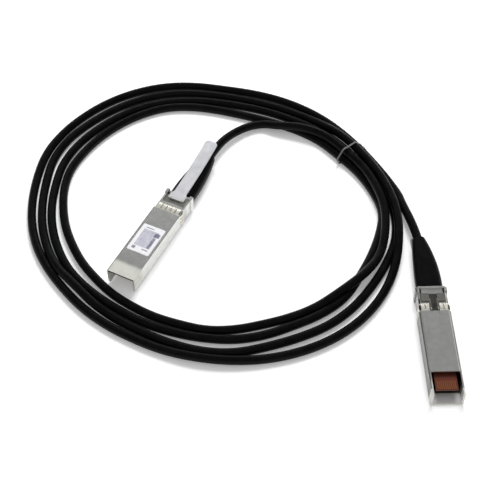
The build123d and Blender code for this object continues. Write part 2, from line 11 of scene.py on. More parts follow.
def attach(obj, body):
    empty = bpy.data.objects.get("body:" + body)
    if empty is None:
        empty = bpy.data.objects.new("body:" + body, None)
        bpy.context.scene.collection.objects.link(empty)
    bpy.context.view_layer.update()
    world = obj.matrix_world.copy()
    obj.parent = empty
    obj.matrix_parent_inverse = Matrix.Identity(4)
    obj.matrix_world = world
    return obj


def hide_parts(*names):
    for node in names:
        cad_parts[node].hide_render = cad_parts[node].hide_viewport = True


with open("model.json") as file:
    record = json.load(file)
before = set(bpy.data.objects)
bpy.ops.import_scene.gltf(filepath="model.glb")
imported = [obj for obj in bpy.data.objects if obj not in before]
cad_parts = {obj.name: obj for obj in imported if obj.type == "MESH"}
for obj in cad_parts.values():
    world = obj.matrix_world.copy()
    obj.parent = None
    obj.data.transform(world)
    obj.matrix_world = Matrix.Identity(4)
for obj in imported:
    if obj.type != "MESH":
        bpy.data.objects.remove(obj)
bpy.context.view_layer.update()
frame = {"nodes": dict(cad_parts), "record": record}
nodes = frame["nodes"]
MM = 0.001


def aimed(obj, place, target):
    """Links a camera or a lamp into the scene, at a place and turned towards a target."""
    obj.location = place
    obj.rotation_mode = "QUATERNION"
    obj.rotation_quaternion = (Vector(target) - Vector(place)).to_track_quat("-Z", "Y")
    bpy.context.scene.collection.objects.link(obj)


# Camera at the photograph's viewing angle
camera = bpy.data.objects.new("camera", bpy.data.cameras.new("camera"))
aimed(camera, place=(-0.08718, -0.23490, 0.38340), target=(-0.07878, 0.08589, 0.0))
camera.data.sensor_width = 36.0
camera.data.lens = 81.15
bpy.context.scene.camera = camera


# Where the two plugs lie. In a plug's own frame x runs across it, y from the mating end to the
# cable, and z up from the card side. Plug B is upside down
PLUG_HEIGHT = 0.0085
PLUG_A_PLACE = (-0.1334, 0.0632, 0.00045)
PLUG_A_HEADING = math.radians(62.1)
PLUG_A = Matrix((
    (math.sin(PLUG_A_HEADING), math.cos(PLUG_A_HEADING), 0, PLUG_A_PLACE[0]),
    (-math.cos(PLUG_A_HEADING), math.sin(PLUG_A_HEADING), 0, PLUG_A_PLACE[1]),
    (0, 0, 1, PLUG_A_PLACE[2]),
    (0, 0, 0, 1),
))
PLUG_B = Matrix((
    (-1, 0, 0, 0),
    (0, 1, 0, 0),
    (0, 0, -1, PLUG_HEIGHT),
    (0, 0, 0, 1),
))


# The cable. At each clock position of the coil (degrees from +X): how far each strand lies from
# the coil's middle and how high its centre is, in millimetres, from the first turn to the last.
# They are readings of the photograph, evened out where it shows no gap. The first turn starts at
# 60 and runs down, so it has no place at the later positions
CABLE_DIAMETER = 0.0040
STRAND_RADIUS = CABLE_DIAMETER / MM / 2
COIL_CENTRE = (-94.25, 106.30)
COIL_CLOCK = (
    (0, (79.5, 6.0), (79.3, 2.0), (84.3, 2.0), (84.7, 5.9), (89.2, 3.0)),
    (10, (77.2, 5.9), (75.9, 2.0), (80.7, 2.0), (81.9, 5.8), (85.6, 2.3)),
    (20, (75.2, 5.5), (72.9, 2.1), (77.4, 2.1), (80.0, 5.2), (82.7, 2.1)),
    (30, (72.2, 5.4), (69.5, 2.3), (75.1, 2.3), (77.9, 5.4), (80.9, 2.3)),
    (40, (71.0, 5.3), (68.6, 2.0), (74.1, 2.1), (77.3, 4.7), (80.6, 2.1)),
    (50, (66.4, 5.8), (66.8, 2.0), (72.2, 2.0), (76.4, 2.4), (80.9, 2.0)),
    (60, (61.5, 4.2), (64.9, 2.0), (70.7, 2.0), (75.5, 2.0), (80.8, 2.0)),
    (70, None, (64.2, 2.0), (70.5, 2.0), (75.1, 2.0), (80.9, 2.0)),
    (80, None, (64.8, 2.0), (70.6, 2.0), (75.6, 2.0), (81.1, 2.0)),
    (90, None, (67.0, 2.0), (72.1, 2.0), (77.3, 2.0), (82.4, 2.0)),
    (100, None, (70.0, 2.0), (74.3, 2.0), (79.9, 2.0), (86.0, 2.0)),
    (110, None, (72.4, 2.0), (76.3, 2.0), (82.2, 2.0), (88.0, 2.0)),
    (120, None, (72.8, 2.0), (77.4, 2.0), (83.0, 2.0), (89.0, 2.0)),
    (130, None, (72.7, 2.0), (77.5, 2.0), (83.3, 2.0), (89.3, 2.0)),
    (140, None, (72.4, 2.0), (77.5, 2.0), (83.4, 2.0), (88.8, 2.0)),
    (150, None, (72.1, 2.0), (77.6, 2.0), (83.8, 2.0), (87.9, 2.9)),
    (160, None, (71.9, 2.0), (76.6, 2.0), (82.0, 2.0), (86.4, 3.0)),
    (170, None, (70.1, 2.0), (74.4, 2.0), (79.0, 2.0), (83.9, 2.0)),
    (180, None, (68.0, 2.0), (73.5, 2.0), (77.9, 2.0), (82.7, 2.0)),
    (190, None, (66.6, 2.0), (72.6, 2.0), (77.0, 2.0), (81.5, 2.0)),
    (200, None, (65.2, 2.0), (71.9, 2.0), (76.2, 2.0), (80.3, 2.0)),
    (210, None, (64.6, 2.0), (71.4, 2.0), (75.5, 3.8), (78.7, 2.0)),
    (220, None, (64.0, 2.0), (70.2, 2.0), (73.5, 4.6), (77.9, 2.0)),
    (230, None, (64.4, 2.0), (69.4, 2.0), (74.0, 3.2), (78.2, 2.0)),
    (240, None, (64.6, 2.0), (69.3, 2.0), (73.8, 2.0), (78.3, 2.0)),
    (250, None, (65.5, 2.0), (70.2, 2.0), (74.7, 2.0), (79.2, 2.0)),
    (260, None, (66.4, 2.0), (71.0, 2.0), (77.0, 2.0), (81.2, 2.4)),
    (270, None, (68.4, 2.0), (72.4, 2.0), (79.5, 2.0), (83.3, 3.2)),
    (280, None, (69.0, 2.0), (74.2, 2.0), (80.9, 2.0), (85.2, 2.4)),
    (290, None, (69.3, 2.0), (74.9, 2.0), (80.6, 2.0), (87.2, 2.0)),
    (300, None, (71.0, 2.0), (75.2, 2.0), (82.0, 2.0), (89.0, 2.0)),
    (310, None, (73.0, 2.0), (77.1, 2.0), (83.7, 2.0), (90.4, 2.0)),
    (320, None, (75.6, 4.5), (78.2, 2.0), (84.1, 2.0), (90.7, 2.0)),
    (330, None, (79.5, 5.9), (76.8, 2.0), (84.0, 2.0), (90.0, 2.0)),
    (340, None, (81.0, 3.6), (77.2, 2.0), (84.9, 2.0), (88.5, 3.6)),
    (350, None, (80.4, 5.3), (78.2, 2.0), (85.8, 2.0), (86.3, 5.9)),
)
# The clock's own turn, and how far a soft spline stays inside its control points
CLOCK_TURN = -1.5
CORNER_CUT = 0.9962
# Where the coil starts and ends, as unwound angles, the angle between its control points, and a
# reading (angle, distance, height) far past its end, with which the last turn levels off
COIL_FROM = 60.0
COIL_TO = -1434.0
COIL_STEP = 10.0
RUN_OUT = (-1780.0, 82.7, 2.1)
TAIL_A = (
    (-94.77, 136.89, 4.7), (-90.80, 144.97, 4.7), (-84.6, 153.0, 4.0), (-76.2, 159.6, 3.0),
    (-67.9, 161.9, 2.6),
)
TAIL_B = (
    (-5.9, 106.6, 3.2), (-2.45, 92.13, 4.25), (-1.35, 83.2, 4.25),
)


def smooth(rows, where):
    """Catmull-Rom values at a place, from rows of (place, value...) with their places falling."""
    last = len(rows) - 1
    index = max(i for i in range(last) if rows[i][0] >= where or i == 0)
    before, here, after, beyond = (
        rows[min(max(index + offset, 0), last)] for offset in (-1, 0, 1, 2)
    )
    span = after[0] - here[0]
    t = (where - here[0]) / span
    values = []
    for k in range(1, len(here)):
        slope_in = (after[k] - before[k]) / (after[0] - before[0]) * span
        slope_out = (beyond[k] - here[k]) / (beyond[0] - here[0]) * span
        values.append(
            (2 * t ** 3 - 3 * t ** 2 + 1) * here[k] + (t ** 3 - 2 * t ** 2 + t) * slope_in
            + (3 * t ** 2 - 2 * t ** 3) * after[k] + (t ** 3 - t ** 2) * slope_out
        )
    return values


def coil_points():
    """Control points of all the turns in millimetres, clockwise from tail A to tail B."""
    unwound = [RUN_OUT]
    for clock, *strands in COIL_CLOCK:
        for turn, strand in enumerate(strands):
            if strand is not None:
                unwound.append((clock - 360.0 * turn, *strand))
    unwound.sort(reverse=True)
    count = round((COIL_FROM - COIL_TO) / COIL_STEP)
    for number in range(count + 1):
        angle = COIL_FROM - (COIL_FROM - COIL_TO) * number / count
        reach, height = smooth(unwound, angle)
        turned = math.radians(angle + CLOCK_TURN)
        yield (
            COIL_CENTRE[0] + reach / CORNER_CUT * math.cos(turned),
            COIL_CENTRE[1] + reach / CORNER_CUT * math.sin(turned),
            max(height, STRAND_RADIUS),
        )


# A soft spline along the route; every point pulls on it, so its bends stay smooth. Its thickness
# is each point's own radius, times a bevel of 1 metre
route = [*TAIL_A, *coil_points(), *TAIL_B]
line = bpy.data.curves.new("cable", "CURVE")
line.dimensions = "3D"
line.bevel_depth = 1.0
line.bevel_resolution = 5
line.resolution_u = 8
spline = line.splines.new("NURBS")
spline.points.add(len(route) - 1)
for point, (x, y, z) in zip(spline.points, route):
    point.co = (x * MM, y * MM, z * MM, 1.0)
    point.radius = CABLE_DIAMETER / 2
spline.order_u = 3
spline.use_endpoint_u = True
cable = bpy.data.objects.new("cable", line)
bpy.context.scene.collection.objects.link(cable)
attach(cable, "cable_assembly")
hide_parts("cable_coil", "cable_tail_a", "cable_tail_b")


# Materials
class Paint:
    """A Principled material. Its sockets get plain values, and nodes in the part's space then
    vary its colour, roughness and bump."""

    def __init__(self, title, **sockets):
        self.material = bpy.data.materials.new(title)
        self.material.use_nodes = True
        self.tree = self.material.node_tree
        self.shader = self.tree.nodes["Principled BSDF"]
        self.place = self.tree.nodes.new("ShaderNodeTexCoord").outputs["Object"]
        for socket, value in sockets.items():
            label = socket.replace("_", " ").title().replace("Ior", "IOR")
            self.shader.inputs[label].default_value = value
        self.normal = None

    def drive(self, value, socket):
        """Sets a socket to a value, or links it to another node's output."""
        if isinstance(value, bpy.types.NodeSocket):
            self.tree.links.new(value, socket)
        else:
            socket.default_value = value

    def node(self, kind, inputs, **settings):
        made = self.tree.nodes.new(kind)
        for key, value in settings.items():
            setattr(made, key, value)
        for key, value in inputs.items():
            self.drive(value, made.inputs[key])
        return made

    def maths(self, operation, first, second):
        return self.node("ShaderNodeMath", {0: first, 1: second}, operation=operation).outputs[0]

    def within(self, plug, edge, **limits):
        """1 inside limits in millimetres of a plug's own frame, 0 outside, with a soft edge."""
        location, rotation, _ = plug.inverted().decompose()
        mapped = self.node(
            "ShaderNodeMapping",
            {"Vector": self.place, "Location": location, "Rotation": rotation.to_euler()},
        ).outputs["Vector"]
        split = self.node("ShaderNodeSeparateXYZ", {"Vector": mapped}).outputs
        inside = 1.0
        for axis, (least, most) in limits.items():
            for limit, low, high in ((least, 0.0, 1.0), (most, 1.0, 0.0)):
                step = self.node("ShaderNodeMapRange", {
                    "Value": split[axis.upper()],
                    "From Min": (limit - edge) * MM,
                    "From Max": (limit + edge) * MM,
                    "To Min": low,
                    "To Max": high,
                }).outputs[0]
                inside = self.maths("MULTIPLY", inside, step)
        return inside

    def noise(self, scale, detail=3.0, roughness=0.5, stretch=None):
        """Noise of a grain size: scale is in grains per metre."""
        place = self.place
        if stretch:
            place = self.node("ShaderNodeMapping", {"Vector": place, "Scale": stretch}).outputs[0]
        return self.node(
            "ShaderNodeTexNoise",
            {"Vector": place, "Scale": scale, "Detail": detail, "Roughness": roughness},
        ).outputs["Fac"]

    def ramp(self, value, *stops):
        """Two stops of (position, colour), where a colour may be one number for a grey."""
        made = self.node("ShaderNodeValToRGB", {"Fac": value})
        for element, (position, colour) in zip(made.color_ramp.elements, stops):
            element.position = position
            if not hasattr(colour, "__len__"):
                colour = (colour, colour, colour)
            element.color = (*colour, 1.0)
        return made.outputs["Color"]

    def mixed(self, factor, first, second):
        made = self.node("ShaderNodeMix", {}, data_type="RGBA")
        self.drive(factor, made.inputs[0])
        self.drive(first, made.inputs[6])
        self.drive(second, made.inputs[7])
        return made.outputs[2]

    def colour(self, value):
        self.drive(value, self.shader.inputs["Base Color"])

    def roughness(self, value):
        self.drive(value, self.shader.inputs["Roughness"])

    def bump(self, height, depth):
        """Adds a bump of a depth in metres."""
        inputs = {"Height": height, "Distance": depth, "Strength": 1.0}
        if self.normal is not None:
            inputs["Normal"] = self.normal
        self.normal = self.node("ShaderNodeBump", inputs).outputs["Normal"]
        self.drive(self.normal, self.shader.inputs["Normal"])

    def softened(self, radius):
        """Edges that catch the light as if they were rounded."""
        self.normal = self.node("ShaderNodeBevel", {"Radius": radius}, samples=4).outputs["Normal"]
        self.drive(self.normal, self.shader.inputs["Normal"])


def jacket_paint():
    """Extruded black jacket: satin, with faint scuffs, dust and handling marks."""
    paint = Paint("cable_jacket", base_color=(0.003, 0.003, 0.0033, 1), specular_ior_level=0.09)
    scuff = paint.noise(240, 5, 0.6)
    worn = (0.0045, 0.0045, 0.005)
    paint.colour(paint.ramp(scuff, (0.35, (0.0015, 0.0015, 0.0017)), (0.8, worn)))
    paint.roughness(paint.ramp(scuff, (0.3, 0.34), (0.75, 0.46)))
    paint.bump(paint.noise(120, 2), 0.00016)
    paint.bump(paint.noise(5200, 2), 0.000012)
    return paint.material


def boot_paint():
    """Moulded black strain relief, a little duller than the jacket."""
    paint = Paint("boot_rubber", base_color=(0.003, 0.003, 0.003, 1), specular_ior_level=0.08)
    paint.softened(0.0003)
    cloud = paint.noise(300, 4)
    worn = (0.004, 0.004, 0.0043)
    paint.colour(paint.ramp(cloud, (0.3, (0.0015, 0.0015, 0.0017)), (0.8, worn)))
    paint.roughness(paint.ramp(cloud, (0.3, 0.38), (0.75, 0.5)))
    paint.bump(paint.noise(4000, 2), 0.00002)
    return paint.material


# Zones of the plugs' plate that look different, with the softness of their edges and their limits
# in millimetres of a plug's own frame. The mouths are rubbed and partly painted as a highlight,
# the lip in plug B's mouth is painted light, and the latch pockets, cavities, sides and edges are
# painted shade
RUBBED_LIT_MOUTH = {"edge": 1.0, "x": (-9, 9), "y": (-2, 6.6), "z": (-2, 11)}
LATCH_STEM_SHADE = {"edge": 0.15, "x": (-1.2, 1.2), "y": (41.0, 47.0), "z": (-2, 2.6)}
LATCH_CROSS_SHADE = {"edge": 0.2, "x": (-2.0, 2.0), "y": (46.8, 50.4), "z": (-2, 2.6)}
CAVITY_SHADE = {"edge": 0.08, "x": (-6.25, 6.25), "y": (5.0, 48.0), "z": (0.7, 7.75)}
B_FAR_SIDE_SHADE = {"edge": 0.1, "x": (6.3, 8), "y": (3, 60), "z": (-2, 11)}
# plug B's near side, painted shade, and how strongly it is painted
B_NEAR_SIDE = {"edge": 0.1, "x": (-8, -5.8), "y": (3, 60), "z": (0.25, 11)}
B_NEAR_SIDE_STRENGTH = 1.15
B_LIT_LIP = {"edge": 0.1, "x": (-6.0, 6.0), "y": (0.3, 4.6), "z": (7.0, 8.2)}
A_FAR_EDGE_SHADE = {"edge": 0.08, "x": (-8, -6.35), "y": (-2, 60), "z": (7.2, 11)}
A_CUT_EDGE_SHADE = {"edge": 0.06, "x": (-6.2, 6.2), "y": (-1, 0.12), "z": (7.4, 8.3)}


def casting_paint():
    """Satin nickel plate on a die casting: cloudy sheen, fine grain, rubbed mouths, painted light
    and shade.
    """
    paint = Paint("plated_casting", base_color=(0.6, 0.59, 0.57, 1), metallic=1.0)
    paint.softened(0.00022)
    cloud = paint.noise(420, 4, 0.55)
    rubbed_and_lit = 0.0
    pocket_shade = 0.0
    inside = 0.0
    for plug in (PLUG_A, PLUG_B):
        rubbed_and_lit = paint.maths("MAXIMUM", rubbed_and_lit, paint.within(plug, **RUBBED_LIT_MOUTH))
        pocket_shade = paint.maths("MAXIMUM", pocket_shade, paint.within(plug, **LATCH_STEM_SHADE))
        pocket_shade = paint.maths("MAXIMUM", pocket_shade, paint.within(plug, **LATCH_CROSS_SHADE))
        # the cavities, for painted shade
        inside = paint.maths("MAXIMUM", inside, paint.within(plug, **CAVITY_SHADE))
    rubbed_and_lit = paint.maths("MULTIPLY", rubbed_and_lit, paint.ramp(cloud, (0.2, 0.75), (0.6, 1.0)))
    # painted shade on plug B's near and far sides and on plug A's far edge
    near_side = paint.within(PLUG_B, **B_NEAR_SIDE)
    side_shade = paint.maths("MULTIPLY", near_side, B_NEAR_SIDE_STRENGTH)
    side_shade = paint.maths("MAXIMUM", side_shade, paint.within(PLUG_A, **A_FAR_EDGE_SHADE))
    side_shade = paint.maths("MAXIMUM", side_shade, paint.within(PLUG_B, **B_FAR_SIDE_SHADE))
    tone = paint.ramp(cloud, (0.3, (0.65, 0.66, 0.635)), (0.7, (0.76, 0.765, 0.74)))
    # rubbed plate at the mouths, lighter and less metallic, partly a painted highlight
    tone = paint.mixed(rubbed_and_lit, tone, (0.74, 0.74, 0.68, 1))
    # painted shade on plug B's sides and plug A's far edge
    tone = paint.mixed(side_shade, tone, (0.24, 0.24, 0.23, 1))
    # painted shade inside the cavities
    tone = paint.mixed(inside, tone, (0.07, 0.068, 0.062, 1))
    # painted shade in the latch pockets
    tone = paint.mixed(pocket_shade, tone, (0.13, 0.13, 0.12, 1))
    # painted shade on plug A's cut edge at the mouth
    cut_edge_shade = paint.within(PLUG_A, **A_CUT_EDGE_SHADE)
    tone = paint.mixed(cut_edge_shade, tone, (0.03, 0.03, 0.028, 1))
    # painted light on the lip inside plug B's mouth
    lit_lip = paint.within(PLUG_B, **B_LIT_LIP)
    tone = paint.mixed(lit_lip, tone, (0.96, 0.95, 0.97, 1))
    paint.colour(tone)
    sheen = paint.ramp(cloud, (0.25, 0.3), (0.8, 0.46))
    paint.roughness(paint.mixed(rubbed_and_lit, sheen, (0.5, 0.5, 0.5, 1)))
    metal = paint.maths("SUBTRACT", 1.0, paint.maths("MULTIPLY", rubbed_and_lit, 0.7))
    paint.drive(metal, paint.shader.inputs["Metallic"])
    paint.bump(paint.noise(7000, 2), 0.000012)
    return paint.material


def tin_paint():
    """Bright tinned spring strip."""
    paint = Paint("tinned_steel", base_color=(0.83, 0.81, 0.75, 1), metallic=0.55)
    paint.softened(0.00005)
    cloud = paint.noise(900, 3)
    paint.colour(paint.ramp(cloud, (0.3, (0.66, 0.64, 0.56)), (0.7, (0.86, 0.84, 0.75))))
    paint.roughness(paint.ramp(cloud, (0.3, 0.24), (0.8, 0.38)))
    return paint.material


def spring_paint():
    """Bare spring steel with the marks of its forming."""
    paint = Paint("spring_steel", base_color=(0.55, 0.53, 0.48, 1), metallic=1.0)
    paint.softened(0.0001)
    drawn = paint.noise(1500, 3, 0.6, stretch=(1, 1, 6))
    paint.colour(paint.ramp(drawn, (0.3, (0.28, 0.273, 0.25)), (0.7, (0.45, 0.44, 0.4))))
    paint.roughness(paint.ramp(drawn, (0.3, 0.3), (0.8, 0.46)))
    paint.bump(drawn, 0.000008)
    return paint.material


def board_paint():
    """Solder resist over glass laminate, dark red-brown."""
    paint = Paint(
        "circuit_board", base_color=(0.13, 0.03, 0.012, 1), roughness=0.45, coat_weight=0.2,
    )
    cloud = paint.noise(2500, 3)
    paint.colour(paint.ramp(cloud, (0.3, (0.085, 0.016, 0.006)), (0.7, (0.135, 0.028, 0.012))))
    paint.bump(paint.noise(6000, 2), 0.00001)
    return paint.material


def gold_paint():
    """Contact pads, their gold darkened as painted shade of the mouth."""
    paint = Paint("gold_plate", base_color=(0.5, 0.2, 0.08, 1), metallic=0.8)
    cloud = paint.noise(3000, 2)
    paint.colour(paint.ramp(cloud, (0.3, (0.3, 0.11, 0.045)), (0.7, (0.42, 0.17, 0.07))))
    paint.roughness(paint.ramp(cloud, (0.3, 0.3), (0.7, 0.5)))
    return paint.material


def chip_paint():
    """Black moulded body of the memory chip."""
    paint = Paint("black_moulding", base_color=(0.02, 0.02, 0.02, 1))
    cloud = paint.noise(4000, 3)
    paint.colour(paint.ramp(cloud, (0.3, 0.014), (0.7, 0.03)))
    paint.roughness(paint.ramp(cloud, (0.3, 0.5), (0.7, 0.65)))
    paint.bump(cloud, 0.00001)
    return paint.material


def foil_paint():
    """Foil wrapped round the signal pairs."""
    paint = Paint("wire_foil", base_color=(0.7, 0.71, 0.73, 1), metallic=0.9)
    wrap = paint.noise(2200, 3, 0.6, stretch=(1, 4, 1))
    paint.colour(paint.ramp(wrap, (0.3, (0.58, 0.6, 0.63)), (0.7, (0.8, 0.81, 0.83))))
    paint.roughness(paint.ramp(wrap, (0.3, 0.22), (0.7, 0.4)))
    paint.bump(wrap, 0.00004)
    return paint.material


def tab_paint():
    """Milky translucent strip, a little cloudy from handling."""
    paint = Paint(
        "clear_plastic", base_color=(0.7, 0.7, 0.74, 1), ior=1.46, specular_ior_level=0.3,
        transmission_weight=0.3,
    )
    cloud = paint.noise(260, 3)
    paint.colour(paint.ramp(cloud, (0.3, (0.6, 0.6, 0.63)), (0.7, (0.74, 0.74, 0.78))))
    paint.roughness(paint.ramp(cloud, (0.3, 0.34), (0.8, 0.5)))
    paint.bump(cloud, 0.00004)
    return paint.material


# The label's plain layout, without anything to read: ink, how much of it shows where it is most
# worn, and the field's limits across and along plug A in millimetres
LAVENDER = (0.42, 0.42, 0.5, 1)
SLATE = (0.16, 0.16, 0.21, 1)
PRINT_EDGE = 0.12
LABEL_PRINT = (
    (LAVENDER, 0.62, (-3.8, 3.7), (17.8, 28.0)),
    (SLATE, 0.8, (2.1, 4.7), (25.0, 27.4)),
    (SLATE, 0.5, (2.4, 3.9), (18.0, 24.4)),
    (SLATE, 0.8, (-3.9, -2.3), (15.7, 17.3)),
    (SLATE, 0.6, (1.0, 3.8), (16.4, 17.0)),
    (SLATE, 0.6, (-3.4, 0.6), (28.7, 29.2)),
)


def film_paint():
    """White label film with its printed layout of fields and bars."""
    paint = Paint("label_film", base_color=(0.82, 0.82, 0.84, 1))
    cloud = paint.noise(900, 3)
    tone = paint.ramp(cloud, (0.3, (0.76, 0.76, 0.79)), (0.7, (0.85, 0.85, 0.87)))
    for ink, least, x, y in LABEL_PRINT:
        field = paint.within(PLUG_A, PRINT_EDGE, x=x, y=y)
        strength = paint.ramp(paint.noise(700, 2), (0.3, least), (0.7, 1.0))
        tone = paint.mixed(paint.maths("MULTIPLY", field, strength), tone, ink)
    paint.colour(tone)
    paint.roughness(paint.ramp(cloud, (0.3, 0.34), (0.8, 0.46)))
    paint.bump(cloud, 0.000006)
    return paint.material


def tie_paint():
    """Grey plastic drawn over a wire."""
    paint = Paint("tie_plastic", base_color=(0.13, 0.13, 0.14, 1), specular_ior_level=0.2)
    cloud = paint.noise(1400, 3)
    paint.colour(paint.ramp(cloud, (0.3, (0.1, 0.1, 0.105)), (0.7, (0.17, 0.17, 0.175))))
    paint.roughness(paint.ramp(cloud, (0.3, 0.35), (0.8, 0.5)))
    return paint.material


PAINTS = {
    "plated_casting": casting_paint(),
    "tinned_steel": tin_paint(),
    "spring_steel": spring_paint(),
    "circuit_board": board_paint(),
    "gold_plate": gold_paint(),
    "black_moulding": chip_paint(),
    "wire_foil": foil_paint(),
    "boot_rubber": boot_paint(),
    "clear_plastic": tab_paint(),
    "label_film": film_paint(),
    "cable_jacket": jacket_paint(),
    "tie_plastic": tie_paint(),
}
line.materials.append(PAINTS["cable_jacket"])
for entry in frame["record"]["subparts"]:
    mesh = nodes[entry["node"]].data
    for index in range(max(1, len(mesh.materials))):
        if index < len(mesh.materials):
            mesh.materials[index] = PAINTS[entry["material_slot"]]
        else:
            mesh.materials.append(PAINTS[entry["material_slot"]])


# Pieces made here. Edges that turn more than this many degrees stay sharp
SHARP_ANGLE = 50


def piece(name, body, slot, maker):
    """A smooth mesh object, made by a function that fills a bmesh."""
    made = bmesh.new()
    maker(made)
    bmesh.ops.recalc_face_normals(made, faces=made.faces)
    mesh = bpy.data.meshes.new(name)
    made.to_mesh(mesh)
    made.free()
    for face in mesh.polygons:
        face.use_smooth = True
    mesh.set_sharp_from_angle(angle=math.radians(SHARP_ANGLE))
    mesh.materials.append(PAINTS[slot])
    obj = bpy.data.objects.new(name, mesh)
    bpy.context.scene.collection.objects.link(obj)
    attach(obj, body)
    return obj


def join(made, before, after):
    """A band of faces between two rings of corners."""
    for k in range(len(before)):
        n = (k + 1) % len(before)
        made.faces.new((before[k], before[n], after[n], after[k]))


def skin(made, rings):
    """Joins each ring of points in millimetres to the next one. Returns the rings' corners."""
    rows = [[made.verts.new(Vector(point) * MM) for point in ring] for ring in rings]
    for before, after in zip(rows, rows[1:]):
        join(made, before, after)
    return rows


def tube(made, rings):
    """A closed skin over rings of points, with a face at each end."""
    rows = skin(made, rings)
    made.faces.new(rows[0])
    made.faces.new(rows[-1])


# Pull tabs, in millimetres of a plug's own frame: a foot on the slider, a neck, and a tongue with
# a rounded end past the boot. Foot and end give where, half the width, and the corner's radius
TAB_FOOT = (49.4, 4.0, 0.45)
TAB_NECK = (52.2, 54.6)
TAB_END = (87.5, 3.1, 1.6)
TAB_BEND_FROM = 53.4
TAB_BOTTOM = 7.87
TAB_THICKNESS = 0.44
TAB_EDGE = 0.14
TAB_LEAST_HALF = 0.02
# Rings across a tab: the ones through foot, neck and bend, then even steps, then round the end
TAB_STATIONS = (50.3, 51.2, 52.2, 53.0, 53.8, 54.6, 55.6, 57.0)
TAB_FOOT_STEPS = 5
TAB_TONGUE_STEPS = 24
TAB_END_STEPS = 8
TAB_ACROSS_STEPS = 10
# Each plug's tab: how far its end leans across, and how far it rises
TABS = (("a", PLUG_A, -0.7, 3.0), ("b", PLUG_B, 1.2, 0.0))


def rounding(distance, radius):
    """How far a rounded corner draws the edge in, at a distance from the end."""
    if distance >= radius:
        return 0.0
    return radius - math.sqrt(radius ** 2 - (radius - distance) ** 2)


def tab_stations():
    """Where along the tab its rings lie."""
    foot_y, _, foot_corner = TAB_FOOT
    end_y, _, end_corner = TAB_END
    tongue_y = TAB_STATIONS[-1]
    tongue = end_y - end_corner - tongue_y
    for k in range(TAB_FOOT_STEPS + 1):
        yield foot_y + foot_corner * k / TAB_FOOT_STEPS
    yield from TAB_STATIONS
    for k in range(1, TAB_TONGUE_STEPS + 1):
        yield tongue_y + tongue * k / TAB_TONGUE_STEPS
    for k in range(1, TAB_END_STEPS + 1):
        yield end_y - end_corner * (1 - math.sin(math.radians(90 * k / TAB_END_STEPS)))


def tab_ring(y, lean, rise):
    """One ring across the tab: a flat strip with its edges taken off."""
    foot_y, foot_half, foot_corner = TAB_FOOT
    end_y, end_half, end_corner = TAB_END
    neck_y, tongue_y = TAB_NECK
    blend = min(1.0, max(0.0, (y - neck_y) / (tongue_y - neck_y)))
    blend = blend * blend * (3 - 2 * blend)
    half = foot_half + (end_half - foot_half) * blend
    half -= rounding(y - foot_y, foot_corner) + rounding(end_y - y, end_corner)
    middle = lean * max(0.0, y - tongue_y) / (end_y - tongue_y)
    low = TAB_BOTTOM
    if rise and y > TAB_BEND_FROM:
        bend = (end_y - TAB_BEND_FROM) ** 2 / (2 * rise)
        low += bend - math.sqrt(bend ** 2 - (y - TAB_BEND_FROM) ** 2)
    high = low + TAB_THICKNESS
    inner = max(half - TAB_EDGE, TAB_LEAST_HALF)
    steps = range(TAB_ACROSS_STEPS + 1)
    across = [middle - inner + 2 * inner * k / TAB_ACROSS_STEPS for k in steps]
    return [
        *((x, y, high) for x in across),
        (middle + half, y, high - TAB_EDGE),
        (middle + half, y, low + TAB_EDGE),
        *((x, y, low) for x in reversed(across)),
        (middle - half, y, low + TAB_EDGE),
        (middle - half, y, high - TAB_EDGE),
    ]


def tab_maker(plug, lean, rise):
    """A function that makes one plug's tab."""
    def make(made):
        tube(made, [tab_ring(y, lean, rise) for y in sorted(set(tab_stations()))])
        bmesh.ops.transform(made, matrix=plug, verts=made.verts)

    return make


for letter, plug, lean, rise in TABS:
    maker = tab_maker(plug, lean, rise)
    tab = piece(f"pull_tab_{letter}", f"release_{letter}", "clear_plastic", maker)
    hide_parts(f"plug_{letter}_pull_tab")


# Tie, in millimetres: a narrow strip wound round the turns, a little slack over the inner ones.
# The turns under it are given by their distance from the coil's middle and their height
TIE_CLOCK = 28.4
TIE_TURNS = ((69.8, 2.3), (72.5, 5.4), (75.3, 2.3), (78.1, 5.4), (81.0, 2.3))
TIE_MIDDLE = 75.3
TIE_WIDTH = 1.0
TIE_THICKNESS = 0.3
TIE_GAP = 0.02
TIE_SLANT = 0.22
TIE_SLACK = 1.1
TIE_SLACK_LEAN = 0.6
TIE_SLACK_RISE = 0.7
TIE_STEPS = 72
# The strip's cross-section: places along its width and through its thickness, from -1 to 1
TIE_SECTION = ((-1, 0), (-0.8, 1), (0.8, 1), (1, 0), (0.8, -1), (-0.8, -1))
# Its two ends are twisted together along the outer turn: how far out that starts and bulges,
# where it starts and ends along the turn and in height, and how its strands wind
TWIST_OUT = 83.35
TWIST_BULGE = 0.5
TWIST_ALONG = (1.3, -3.9)
TWIST_UP = (2.3, 1.1)
TWIST_TURNS = 2.5
TWIST_REACH = 0.3
TWIST_STRAND_RADIUS = 0.26
TWIST_STEPS = 48
TWIST_SIDES = 8

tie_turned = math.radians(TIE_CLOCK + CLOCK_TURN)
OUTWARDS = Vector((math.cos(tie_turned), math.sin(tie_turned), 0))
SIDEWAYS = Vector((-math.sin(tie_turned), math.cos(tie_turned), 0))
UPWARDS = Vector((0, 0, 1))


def tie_point(across, along, up):
    """A place at the tie, from the coil's middle outwards, along the strands and up."""
    return Vector((*COIL_CENTRE, 0)) + across * OUTWARDS + along * SIDEWAYS + up * UPWARDS


